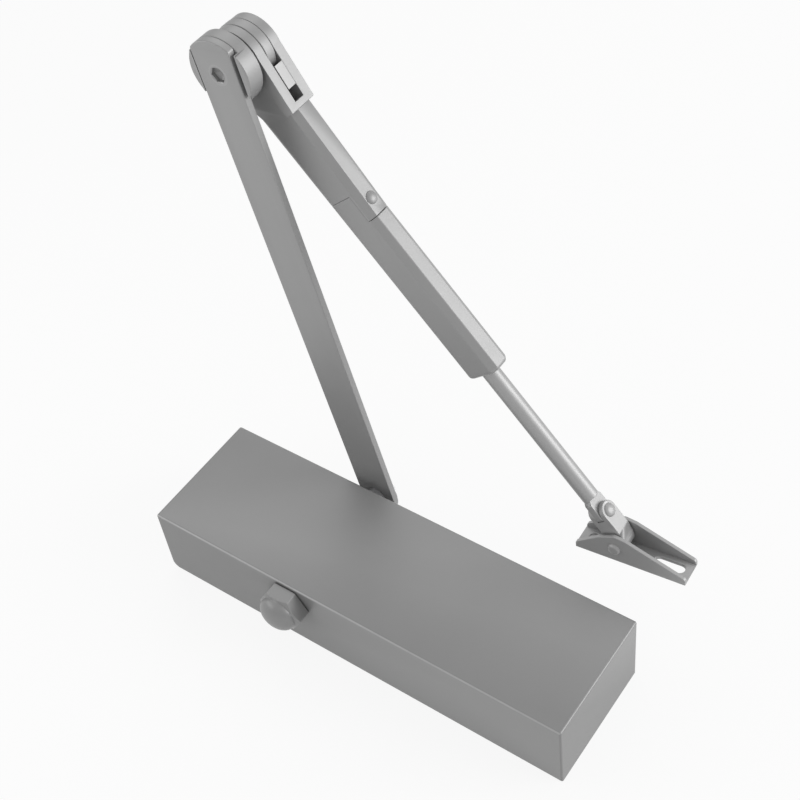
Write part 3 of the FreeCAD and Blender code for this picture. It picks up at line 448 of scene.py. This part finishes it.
def new_mesh(node):
    return bpy.data.meshes.new(node + "_piece")


def new_piece(node, mesh):
    piece = bpy.data.objects.new(node + "_piece", mesh)
    bpy.context.scene.collection.objects.link(piece)
    return settle(piece, node)


def mark_edges(mesh, crease):
    """Mark the edges to be rounded: those that turn by more than crease degrees."""
    solid = bmesh.new()
    solid.from_mesh(mesh)
    marks = solid.edges.layers.float.new(ROUNDING)
    for edge in solid.edges:
        edge[marks] = float(edge.calc_face_angle(0.0) > math.radians(crease))
    solid.to_mesh(mesh)
    solid.free()


def folded_places(piece):
    """Where the rounded faces of a piece fold over each other."""
    graph = bpy.context.evaluated_depsgraph_get()
    graph.update()
    rounded = bmesh.new()
    rounded.from_mesh(piece.evaluated_get(graph).to_mesh())
    places = [(edge.verts[0].co + edge.verts[1].co) / 2 for edge in rounded.edges
              if edge.calc_face_angle(0.0) > math.radians(FOLD_ANGLE)]
    rounded.free()
    return places


def is_near(place, start, end, reach):
    """Whether a place is within reach of the line from start to end."""
    foot, share = intersect_point_line(place, start, end)
    nearest = start if share < 0 else end if share > 1 else foot
    return (place - nearest).length < reach


def leave_sharp(mesh, places, reach):
    """Take the mark off the edges that pass within reach of a place."""
    marks = mesh.attributes[ROUNDING].data
    for edge in mesh.edges:
        start, end = (mesh.vertices[corner].co for corner in edge.vertices)
        if marks[edge.index].value and any(is_near(place, start, end, reach) for place in places):
            marks[edge.index].value = 0.0
            edge.use_edge_sharp = True
    mesh.update()


def round_edges(piece, radius, segments=EDGE_SEGMENTS, crease=EDGE_CREASE, plain=None):
    """Round the edges that turn by more than crease degrees where there is room for it.

    Edges round the top of plain, an axle, stay sharp, and the flats stay flat.
    """
    mark_edges(piece.data, crease)
    if plain:
        leave_sharp(piece.data, [plain.point(0, 0, plain.length)], plain.radius * PLAIN_REACH)
    rounding = piece.modifiers.new("edges", "BEVEL")
    rounding.width = radius
    rounding.segments = segments
    rounding.limit_method = "WEIGHT"
    rounding.use_clamp_overlap = False
    for trial in range(FOLD_TRIALS):
        places = folded_places(piece)
        if not places:
            break
        leave_sharp(piece.data, places, FOLD_REACH * radius * (1 + trial * FOLD_GROWTH))
    joined = piece.modifiers.new("joined", "WELD")
    joined.merge_threshold = SAME_ROUNDED_CORNER
    flats = piece.modifiers.new("flats", "WEIGHTED_NORMAL")
    flats.weight = LARGE_FACE_WEIGHT
    flats.keep_sharp = True
    return piece


def soft_edged(node, radius, segments=EDGE_SEGMENTS, crease=EDGE_CREASE, plain=None):
    """A copy of a solid with its facets merged and its sharp edges rounded."""
    solid = bmesh.new()
    solid.from_mesh(frame["nodes"][node].data)
    bmesh.ops.remove_doubles(solid, verts=solid.verts, dist=SAME_SOLID_CORNER)
    bmesh.ops.dissolve_limit(solid, angle_limit=math.radians(FLAT_ANGLE), verts=solid.verts,
                             edges=solid.edges)
    mesh = new_mesh(node)
    solid.to_mesh(mesh)
    solid.free()
    mesh.shade_smooth()
    return round_edges(new_piece(node, mesh), radius, segments, crease, plain)


# Turned pieces, hexagons and springs

# An edge that turns by more than this, in degrees, is shaded as an edge
TURNED_CREASE = 30
WIRE_CREASE = 60

# Steps round a piece, and from the rim to the middle of the nut's dome
ROUND_STEPS = 96
FINE_STEPS = 144
SMALL_STEPS = 64
SCREW_STEPS = 48
NUT_DOME_STEPS = 20

HEX_CHAMFER = math.tan(math.radians(30))
# Shares: of a hexagon's width, a socket's width, a head's radius and the clamp screw's radius
HEX_RIM = 0.475
SOCKET_MOUTH = 0.6
SOCKET_POINT = 0.25
FLAT_TOP = 0.45
CLAMP_TIP = 0.66
CLAMP_MOUTH = 0.7

COIL_TURNS = {"closing_spring": 8.0, "detent_spring": 6.0}
DEAD_TURNS = 1.0
TURN_STEPS = 36
WIRE_STEPS = 12


def halfway(corners, across):
    places = [corner.dot(across) for corner in corners]
    return (min(places) + max(places)) / 2


class Axle:
    """The line that a turned node lies along: its low end, its length and its widest radius."""

    def __init__(self, node, way, side):
        self.way = way.normalized()
        self.side = (side - self.way * side.dot(self.way)).normalized()
        self.ahead = self.way.cross(self.side)
        corners = [vertex.co for vertex in frame["nodes"][node].data.vertices]
        heights = [corner.dot(self.way) for corner in corners]
        middle = [halfway(corners, across) for across in (self.side, self.ahead)]
        self.length = max(heights) - min(heights)
        self.base = self.way * min(heights) + self.side * middle[0] + self.ahead * middle[1]
        self.radius = max((corner - self.base).cross(self.way).length for corner in corners)

    def point(self, radius, angle, height):
        outward = self.side * math.cos(angle) + self.ahead * math.sin(angle)
        return self.base + outward * radius + self.way * height


def at_angle(measure, angle):
    return measure(angle) if callable(measure) else measure


def ring_faces(rings, steps):
    """Faces between rings of steps points each."""
    faces = []
    for low in range(0, (rings - 1) * steps, steps):
        for i in range(steps):
            following = (i + 1) % steps
            faces.append((low + i, low + following, low + steps + following, low + steps + i))
    return faces


def turned(node, axle, rows, steps=ROUND_STEPS):
    """A piece round an axle, in rows of radius and height: numbers, or functions of the angle."""
    angles = [2 * math.pi * i / steps for i in range(steps)]
    points = [axle.point(at_angle(radius, angle), angle, at_angle(height, angle))
              for radius, height in rows for angle in angles]
    mesh = new_mesh(node)
    mesh.from_pydata(points, [], ring_faces(len(rows), steps))
    shell = bmesh.new()
    shell.from_mesh(mesh)
    bmesh.ops.remove_doubles(shell, verts=shell.verts, dist=SAME_TURNED_CORNER)
    bmesh.ops.recalc_face_normals(shell, faces=shell.faces)
    shell.to_mesh(mesh)
    shell.free()
    mesh.shade_smooth()
    mesh.set_sharp_from_angle(angle=math.radians(TURNED_CREASE))
    return new_piece(node, mesh)


def quarter(steps):
    """Angles from 0 to a right angle."""
    return [math.pi / 2 * i / steps for i in range(steps + 1)]


def dome(radius, base, rise, steps=12):
    """Rows of a round head from its rim up to its middle."""
    return [(radius * math.cos(angle), base + rise * math.sin(angle)) for angle in quarter(steps)]


def flat_dome(radius, base, rise, steps=8):
    """Rows of a head with a round rim and a flat top."""
    flat = radius * FLAT_TOP
    rim = [(flat + (radius - flat) * math.cos(angle), base + rise * math.sin(angle))
           for angle in quarter(steps)]
    return rim + [(0, base + rise)]


def rounded_step(radius, low, high, edge, steps=4):
    """Rows of a cylinder from low to high with rounded edges."""
    inner = radius - edge
    lower = [(inner + edge * math.sin(angle), low + edge - edge * math.cos(angle))
             for angle in quarter(steps)]
    upper = [(inner + edge * math.cos(angle), high - edge + edge * math.sin(angle))
             for angle in quarter(steps)]
    return lower + upper


def washer(node, hole, edge):
    """A flat ring with rounded rims, square to the spindle."""
    axle = Axle(node, SPINDLE_WAY, ARM_SIDE)
    body = rounded_step(axle.radius, 0, axle.length, edge)
    turned(node, axle, [(hole, 0)] + body + [(hole, axle.length), (hole, 0)])


def rivet(node, way, side, stem, rise, head):
    """A pin with a flat lower head and an upper head whose rows the function head gives."""
    axle = Axle(node, way, side)
    top = axle.length - rise
    lower = [(radius, 2 * rise - height)
             for radius, height in reversed(flat_dome(axle.radius, rise, rise))]
    rows = lower + [(stem, rise), (stem, top)] + head(axle.radius, top, rise)
    turned(node, axle, rows, SMALL_STEPS)


def hexagon(flats):
    """Radius of a hexagon at an angle, with a corner at angle 0."""
    sixth = math.pi / 3
    return lambda angle: flats / 2 / math.cos(angle % sixth - sixth / 2)


def flats_of(axle):
    """Width across the flats of a hexagon whose corners lie at an axle's radius."""
    return axle.radius * math.sqrt(3)


def cone(radius, rim, height, slope):
    """Height at which a cone that starts at rim cuts a radius that varies with angle."""
    return lambda angle: height + (radius(angle) - rim) * slope


def hex_rows(flats, low, high):
    """Rows of a hexagon with its corners chamfered at both faces."""
    sides = hexagon(flats)
    rim = flats * HEX_RIM
    return [(rim, low), (sides, cone(sides, rim, low, HEX_CHAMFER)),
            (sides, cone(sides, rim, high, -HEX_CHAMFER)), (rim, high)]


def coil(node, way, wire):
    """A spring of round wire with closed ends, where its solid lies."""
    axle = Axle(node, way, SPINDLE_WAY)
    # The wire's outermost line lies a little inside the solid's
    mean = axle.radius / math.sqrt(1 + (wire / 2 / axle.radius) ** 2) - wire / 2
    turns = COIL_TURNS[node]
    open_turns = turns - 2 * DEAD_TURNS
    open_length = axle.length - wire - 2 * DEAD_TURNS * wire
    steps = int(turns * TURN_STEPS)
    points = []
    for i in range(steps + 1):
        turn = turns * i / steps
        opened = min(max(turn - DEAD_TURNS, 0), open_turns)
        closed = min(turn, DEAD_TURNS) + max(turn - turns + DEAD_TURNS, 0)
        height = wire / 2 + closed * wire + open_length * opened / open_turns
        for j in range(WIRE_STEPS):
            angle = 2 * math.pi * j / WIRE_STEPS
            points.append(axle.point(mean + wire / 2 * math.cos(angle), 2 * math.pi * turn,
                                     height + wire / 2 * math.sin(angle)))
    start = tuple(range(WIRE_STEPS))
    end = tuple(steps * WIRE_STEPS + j for j in reversed(start))
    sides = [(a, d, c, b) for a, b, c, d in ring_faces(steps + 1, WIRE_STEPS)]
    mesh = new_mesh(node)
    mesh.from_pydata(points, [], [start, end] + sides)
    mesh.shade_smooth()
    mesh.set_sharp_from_angle(angle=math.radians(WIRE_CREASE))
    spring = new_piece(node, mesh)
    axle.point(0, 0, axle.length)
    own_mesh(spring)


# Operators: one for each piece or group of like pieces

class BuildOperator:
    """What all the building operators share."""
    bl_options = {"REGISTER", "UNDO"}

    def execute(self, context):
        self.build(context.scene.closer_sizes)
        return {"FINISHED"}


class CLOSER_OT_cover(BuildOperator, bpy.types.Operator):
    """Build the box cover"""
    bl_idname = "closer.cover"
    bl_label = "Cover"

    def build(self, sizes):
        soft_edged("cover", sizes.cover_edge)


class CLOSER_OT_cap_nut(BuildOperator, bpy.types.Operator):
    """Build the domed nut on the free end of the spindle"""
    bl_idname = "closer.cap_nut"
    bl_label = "Cap nut"

    def build(self, sizes):
        axle = Axle("cap_nut", -SPINDLE_WAY, ALONG_COVER)
        flats = flats_of(axle)
        shoulder = axle.length - sizes.nut_dome_rise
        hole = sizes.nut_hole / 2
        radius = sizes.nut_dome / 2
        edge = sizes.turned_edge
        rows = [(0, shoulder), (hole, shoulder), (hole, 0), (hexagon(flats), 0)]
        rows += hex_rows(flats, 0, shoulder)[2:]
        rows += [(radius + edge, shoulder), (radius, shoulder + edge)]
        rows += dome(radius, shoulder + edge, sizes.nut_dome_rise - edge, NUT_DOME_STEPS)
        round_edges(turned("cap_nut", axle, rows, FINE_STEPS), edge)


class CLOSER_OT_main_arm(BuildOperator, bpy.types.Operator):
    """Build the main arm and its fastening on the spindle"""
    bl_idname = "closer.main_arm"
    bl_label = "Main arm"

    def build(self, sizes):
        elbow_pin = Axle("elbow_pin", -SPINDLE_WAY, ARM_SIDE)
        soft_edged("main_arm", sizes.forged_edge, FINE_SEGMENTS, plain=elbow_pin)
        soft_edged("spindle", sizes.hidden_edge)
        washer("arm_washer", sizes.arm_screw / 2, sizes.turned_edge)
        axle = Axle("arm_screw", SPINDLE_WAY, ALONG_COVER)
        seat = axle.length - sizes.arm_screw_head
        stem = sizes.arm_screw / 2 - sizes.hidden_edge
        rows = [(0, 0), (stem - sizes.turned_edge, 0), (stem, sizes.turned_edge), (stem, seat)]
        rows += hex_rows(flats_of(axle), seat, axle.length) + [(0, axle.length)]
        round_edges(turned("arm_screw", axle, rows), sizes.hidden_edge)


class CLOSER_OT_elbow(BuildOperator, bpy.types.Operator):
    """Build the hold-open disc and the elbow's pivot"""
    bl_idname = "closer.elbow"
    bl_label = "Elbow"

    def build(self, sizes):
        soft_edged("hold_open_disc", sizes.forged_edge, FINE_SEGMENTS)
        soft_edged("detent_cam", sizes.forged_edge)
        self.build_pin(sizes)
        bore = sizes.elbow_pin / 2
        washer("elbow_washer", bore, sizes.turned_edge)
        nut = Axle("elbow_nut", SPINDLE_WAY, ARM_SIDE)
        rows = [(bore, 0)] + hex_rows(flats_of(nut), 0, nut.length)
        rows += [(bore, nut.length), (bore, 0)]
        round_edges(turned("elbow_nut", nut, rows), sizes.turned_edge)

    def build_pin(self, sizes):
        axle = Axle("elbow_pin", -SPINDLE_WAY, ARM_SIDE)
        top = axle.length
        socket = hexagon(sizes.elbow_socket)
        mouth = sizes.elbow_socket * SOCKET_MOUTH
        floor = top - sizes.elbow_socket_depth
        rows = [(0, 0), (axle.radius, 0), (axle.radius, top), (mouth, top)]
        rows += [(socket, cone(socket, mouth, top, HEX_CHAMFER)), (socket, floor)]
        rows += [(0, floor - sizes.elbow_socket * SOCKET_POINT)]
        turned("elbow_pin", axle, rows)


class CLOSER_OT_fork(BuildOperator, bpy.types.Operator):
    """Build the forearm's fork with its detent"""
    bl_idname = "closer.fork"
    bl_label = "Forearm fork"

    def build(self, sizes):
        soft_edged("forearm_fork", sizes.fork_edge)
        soft_edged("detent_pawl", sizes.turned_edge)
        coil("detent_spring", ROD_WAY, sizes.detent_wire)


class CLOSER_OT_sleeve(BuildOperator, bpy.types.Operator):
    """Build the forearm's sleeve and its screws"""
    bl_idname = "closer.sleeve"
    bl_label = "Forearm sleeve"

    def build(self, sizes):
        soft_edged("forearm_sleeve", sizes.forged_edge, FINE_SEGMENTS)
        axle = Axle("lap_screw", FOREARM_OUT, SPINDLE_WAY)
        stem = sizes.lap_screw / 2
        seat = axle.length - sizes.lap_screw_rise
        edge = sizes.hidden_edge
        rows = [(0, 0), (stem, 0), (stem, seat), (axle.radius, seat)]
        rows += dome(axle.radius, seat + edge, sizes.lap_screw_rise - edge)
        turned("lap_screw", axle, rows, SMALL_STEPS)
        self.build_clamp_screw()

    def build_clamp_screw(self):
        axle = Axle("rod_clamp_screw", -FOREARM_OUT, SPINDLE_WAY)
        radius, top = axle.radius, axle.length
        socket = hexagon(radius)
        rows = [(0, 0), (radius * CLAMP_TIP, 0), (radius, radius * (1 - CLAMP_TIP)), (radius, top)]
        rows += [(radius * CLAMP_MOUTH, top), (socket, top), (socket, top - radius)]
        rows += [(0, top - radius)]
        turned("rod_clamp_screw", axle, rows, SCREW_STEPS)


class CLOSER_OT_rod(BuildOperator, bpy.types.Operator):
    """Build the rod with its flattened eye"""
    bl_idname = "closer.rod"
    bl_label = "Forearm rod"

    def build(self, sizes):
        soft_edged("forearm_rod", sizes.forged_edge, FINE_SEGMENTS)


class CLOSER_OT_link(BuildOperator, bpy.types.Operator):
    """Build the link between rod and shoe"""
    bl_idname = "closer.link"
    bl_label = "Shoe link"

    def build(self, sizes):
        soft_edged("shoe_link", sizes.pressed_edge, FINE_SEGMENTS, LINK_CREASE)
        stem = sizes.link_rivet / 2 - sizes.hidden_edge
        rivet("link_rivet", RIVET_WAY, SHOE_PIN_WAY, stem, sizes.link_rivet_rise, dome)


class CLOSER_OT_shoe(BuildOperator, bpy.types.Operator):
    """Build the shoe and its pin"""
    bl_idname = "closer.shoe"
    bl_label = "Shoe"

    def build(self, sizes):
        soft_edged("shoe", sizes.pressed_edge, FINE_SEGMENTS)
        stem = sizes.shoe_pin / 2 - sizes.hidden_edge
        rivet("shoe_pin", SHOE_PIN_WAY, RIVET_WAY, stem, sizes.shoe_pin_rise, flat_dome)


CYLINDER_BODIES = ("closer_body", "latch", "sweep", "backcheck")
# Nodes of those bodies that are built in lines of their own
BUILT_APART = ("cover", "body_casting", "closing_spring")


class CLOSER_OT_cylinder(BuildOperator, bpy.types.Operator):
    """Finish the cylinder casting, its plugs, bearings, seals and valves"""
    bl_idname = "closer.cylinder"
    bl_label = "Cylinder"

    def build(self, sizes):
        soft_edged("body_casting", sizes.forged_edge)
        for node in frame["nodes"]:
            if BODY_OF[node] in CYLINDER_BODIES and node not in BUILT_APART:
                soft_edged(node, sizes.hidden_edge)


class CLOSER_OT_piston_train(BuildOperator, bpy.types.Operator):
    """Finish the piston, its spring, the spring seat and the power adjuster"""
    bl_idname = "closer.piston_train"
    bl_label = "Piston and spring"

    def build(self, sizes):
        for node in ("piston", "piston_ring", "spring_seat", "power_adjuster"):
            soft_edged(node, sizes.hidden_edge)
        coil("closing_spring", PISTON_WAY, sizes.spring_wire)


class CLOSER_OT_stage(bpy.types.Operator):
    """Set up the floor, the lights, the world and the camera"""
    bl_idname = "closer.stage"
    bl_label = "Studio"
    bl_options = {"REGISTER", "UNDO"}

    def execute(self, context):
        studio = context.scene.closer_studio
        make_floor()
        make_lights(studio)
        make_world(studio)
        make_camera(studio)
        context.scene.view_settings.view_transform = "Standard"
        return {"FINISHED"}


# Studio, with sizes in metres and the directions from the object to its lights

WHITE = (1.0, 1.0, 1.0, 1.0)
PAPER = (0.76, 0.76, 0.76, 1.0)
FLOOR_SIZE = 6.0
# How much of the floor glows white where it is seen directly; the rest shows the shadows
FLOOR_SHARE = 0.88
OBJECT_MIDDLE = (CAD_BOX[0] + CAD_BOX[1]) / 2
LIGHT_REACH = 1.9
STRIP_REACH = 0.6
KEY_WAY = (0.83, 0.41, 0.30)
BACK_WAY = (-0.44, 0.51, 0.74)
STRIP_WAY = (-0.66, -0.50, 0.22)
KEY_SIZE = (1.2, 1.2)
BACK_SIZE = (1.3, 1.3)
STRIP_SIZE = (0.6, 0.25)
CAMERA_PLACE = Vector((386.2, -402.6, 821.5)) * MM
CAMERA_TURN = tuple(math.radians(angle) for angle in (41.974, 5.736, 34.899))
SENSOR_WIDTH = 36.0


def seen_directly(finish):
    """1 for rays from the camera, from gloss or through clear pieces."""
    camera_ray = finish.node("LightPath", output="Is Camera Ray")
    glossy_ray = finish.node("LightPath", output="Is Glossy Ray")
    clear_ray = finish.node("LightPath", output="Is Transmission Ray")
    return camera_ray.most(glossy_ray).most(clear_ray)


def make_floor():
    """A pale floor that takes shadows and looks white to the camera and in gloss."""
    mesh = bpy.data.meshes.new("floor")
    half = FLOOR_SIZE / 2
    corners = [(-half, -half, 0), (half, -half, 0), (half, half, 0), (-half, half, 0)]
    mesh.from_pydata(corners, [], [(0, 1, 2, 3)])
    floor = bpy.data.objects.new("floor", mesh)
    bpy.context.scene.collection.objects.link(floor)
    finish = new_finish("studio_floor")
    paper = finish.node("BsdfDiffuse", Color=PAPER)
    glow = finish.node("Emission", Color=WHITE, Strength=1.0)
    share = seen_directly(finish) * FLOOR_SHARE
    mixed = finish.node("MixShader", i0=share, i1=paper, i2=glow)
    finish.node("OutputMaterial", Surface=mixed)
    mesh.materials.append(finish.owner)


def area_light(name, way, reach, size, watts):
    """A rectangular light that faces the object from reach away."""
    light = bpy.data.lights.new(name, "AREA")
    light.shape = "RECTANGLE"
    light.size, light.size_y = size
    light.energy = watts
    lamp = bpy.data.objects.new(name, light)
    lamp.location = OBJECT_MIDDLE + Vector(way).normalized() * reach
    lamp.rotation_euler = Vector(way).to_track_quat("Z", "Y").to_euler()
    bpy.context.scene.collection.objects.link(lamp)


def make_lights(studio):
    area_light("key_light", KEY_WAY, LIGHT_REACH, KEY_SIZE, studio.key_power)
    area_light("back_light", BACK_WAY, LIGHT_REACH, BACK_SIZE, studio.back_power)
    area_light("strip_light", STRIP_WAY, STRIP_REACH, STRIP_SIZE, studio.strip_power)


def make_world(studio):
    """Even white light all round, plain white where the camera sees past the floor."""
    finish = Finish(bpy.data.worlds.new("studio"))
    camera_ray = finish.node("LightPath", output="Is Camera Ray")
    fill = finish.node("Background", Color=WHITE, Strength=studio.fill_level)
    plain = finish.node("Background", Color=WHITE, Strength=1.0)
    mixed = finish.node("MixShader", i0=camera_ray, i1=fill, i2=plain)
    finish.node("OutputWorld", Surface=mixed)
    bpy.context.scene.world = finish.owner


def make_camera(studio):
    data = bpy.data.cameras.new("camera")
    data.sensor_fit = "HORIZONTAL"
    data.sensor_width = SENSOR_WIDTH
    data.lens = studio.lens
    camera = bpy.data.objects.new("camera", data)
    camera.location = CAMERA_PLACE
    camera.rotation_euler = CAMERA_TURN
    bpy.context.scene.collection.objects.link(camera)
    bpy.context.scene.camera = camera


# Panel and registration

BUILDERS = (CLOSER_OT_cover, CLOSER_OT_cap_nut, CLOSER_OT_main_arm, CLOSER_OT_elbow,
            CLOSER_OT_fork, CLOSER_OT_sleeve, CLOSER_OT_rod, CLOSER_OT_link, CLOSER_OT_shoe,
            CLOSER_OT_cylinder, CLOSER_OT_piston_train, CLOSER_OT_stage)


class CLOSER_PT_panel(bpy.types.Panel):
    """Sizes, colours, light and building steps of the door closer"""
    bl_idname = "CLOSER_PT_panel"
    bl_label = "Door closer"
    bl_space_type = "VIEW_3D"
    bl_region_type = "UI"
    bl_category = "Door closer"

    def draw(self, context):
        scene = context.scene
        for group in (scene.closer_sizes, scene.closer_colours, scene.closer_studio):
            box = self.layout.box()
            for name in group.__annotations__:
                box.prop(group, name)
        for builder in BUILDERS:
            self.layout.operator(builder.bl_idname)


GROUPS = {"closer_sizes": CloserSizes, "closer_colours": CloserColours,
          "closer_studio": CloserStudio}
CLASSES = (*GROUPS.values(), *BUILDERS, CLOSER_PT_panel)


def register():
    for cls in CLASSES:
        bpy.utils.register_class(cls)
    for name, group in GROUPS.items():
        setattr(bpy.types.Scene, name, PointerProperty(type=group))


def unregister():
    for name in GROUPS:
        delattr(bpy.types.Scene, name)
    for cls in reversed(CLASSES):
        bpy.utils.unregister_class(cls)


def main():
    register()
    for builder in BUILDERS:
        group, name = builder.bl_idname.split(".")
        getattr(getattr(bpy.ops, group), name)()


if __name__ == "__main__":
    main()
